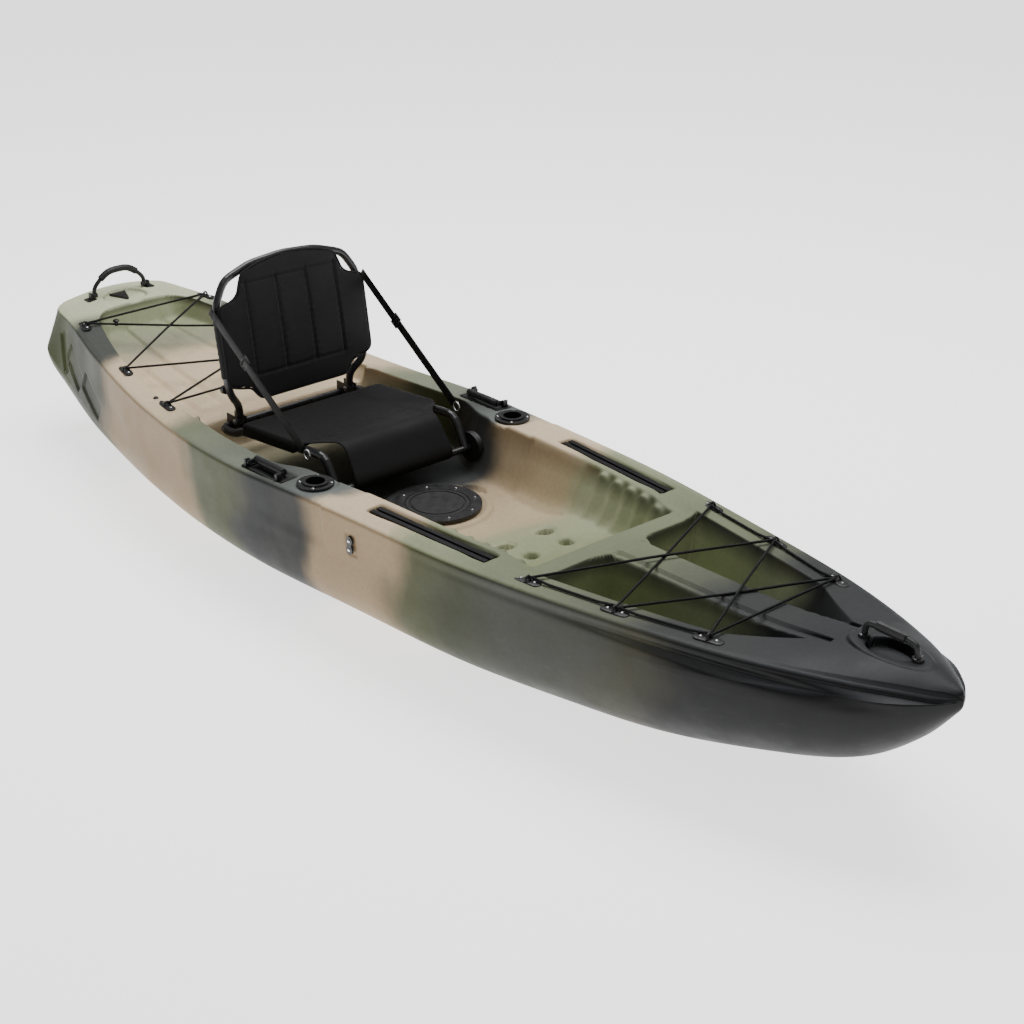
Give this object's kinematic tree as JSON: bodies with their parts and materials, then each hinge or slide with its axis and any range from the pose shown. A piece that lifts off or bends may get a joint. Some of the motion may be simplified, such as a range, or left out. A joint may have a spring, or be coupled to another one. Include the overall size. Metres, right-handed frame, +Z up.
{
  "type": "sit-on-top fishing kayak",
  "caption": "Sit-on-top fishing kayak with folding tube-frame seat, deck plate, rod holders, gear tracks, carry handles and laced tankwell.",
  "frame": {"origin": "on the keel line under the middle of the length, at the lowest point of the hull", "axes": "+X to the bow, +Y to port, +Z up"},
  "size_m": [3.05, 0.7564, 0.7065],
  "materials": {
    "camo_hull": "rotomoulded polyethylene, satin, blended olive, tan and charcoal camouflage",
    "black_plastic": "moulded black plastic, satin",
    "black_lid": "moulded black plastic, fine texture",
    "black_rubber": "black rubber",
    "seat_fabric": "black coated woven polyester",
    "webbing": "black woven webbing",
    "cord": "black braided shock cord",
    "coated_tube": "black powder-coated aluminium tube",
    "track_metal": "black anodised aluminium extrusion",
    "steel": "polished stainless steel",
    "foam": "closed-cell foam"
  },
  "bodies": {
    "root": {"hull_shell": "camo_hull", "hatch_ring": "black_plastic", "hatch_ring_screws": "steel", "rod_holder_starboard": "black_plastic", "rod_holder_port": "black_plastic", "rod_holder_screws": "steel", "gear_track_starboard": "track_metal", "gear_track_port": "track_metal", "gear_track_screws": "steel", "side_handle_base_starboard": "black_plastic", "side_handle_base_port": "black_plastic", "bow_handle": "black_rubber", "bow_handle_screws": "steel", "stern_handle_anchors": "black_plastic", "stern_pocket_insert": "black_plastic", "front_pad_eyes": "black_plastic", "rear_pad_eyes": "black_plastic", "pad_eye_rivets": "steel", "front_bungee": "cord", "rear_bungee": "cord", "paddle_keepers": "black_plastic", "paddle_keeper_screws": "steel", "drain_plug": "black_plastic", "deck_plugs": "black_plastic", "foam_pillar_bow": "foam", "foam_pillar_stern": "foam", "seat_base_frame": "coated_tube", "seat_feet": "black_rubber", "seat_foot_bolts": "steel", "seat_pan": "seat_fabric", "seat_hinge_brackets": "black_plastic", "seat_hinge_bolts": "steel", "strap_starboard": "webbing", "strap_port": "webbing", "strap_buckles": "black_plastic", "strap_hooks": "steel"},
    "seat_back": {"seat_back_frame": "coated_tube", "seat_back_pad": "seat_fabric", "seat_back_knobs": "black_plastic"},
    "hatch_gasket": {"hatch_seal": "black_rubber"},
    "hatch_cover": {"hatch_lid": "black_lid"},
    "stern_grip": {"stern_handle": "black_rubber"},
    "starboard_grip": {"side_handle_grip_starboard": "black_rubber"},
    "port_grip": {"side_handle_grip_port": "black_rubber"}
  },
  "joints": [
    {"name": "seat_back_fold", "type": "hinge", "parent": "root", "child": "seat_back", "pos_m": [-0.59627, 0, 0.29409], "axis": [0, 1, 0], "range_deg": [-6, 25], "deforming": ["strap_starboard", "strap_port", "strap_buckles"]},
    {"name": "deck_plate_lift", "type": "slide", "parent": "root", "child": "hatch_gasket", "axis": [0, 0, 1], "range_m": [0, 0.06]},
    {"name": "deck_plate_turn", "type": "hinge", "parent": "hatch_gasket", "child": "hatch_cover", "pos_m": [-0.0183, 0, 0.20889], "axis": [0, 0, 1], "range_deg": [0, 90]},
    {"name": "stern_handle_swing", "type": "hinge", "parent": "root", "child": "stern_grip", "pos_m": [-1.45638, 0, 0.38728], "axis": [0, 1, 0], "range_deg": [-75, 75]},
    {"name": "starboard_handle_swing", "type": "hinge", "parent": "root", "child": "starboard_grip", "pos_m": [-0.23622, -0.35218, 0.33006], "axis": [0.9998, 0.0199, 0], "range_deg": [0, 80]},
    {"name": "port_handle_swing", "type": "hinge", "parent": "root", "child": "port_grip", "pos_m": [-0.23622, 0.35218, 0.33006], "axis": [0.9998, -0.0199, 0], "range_deg": [-80, 0]}
  ]
}
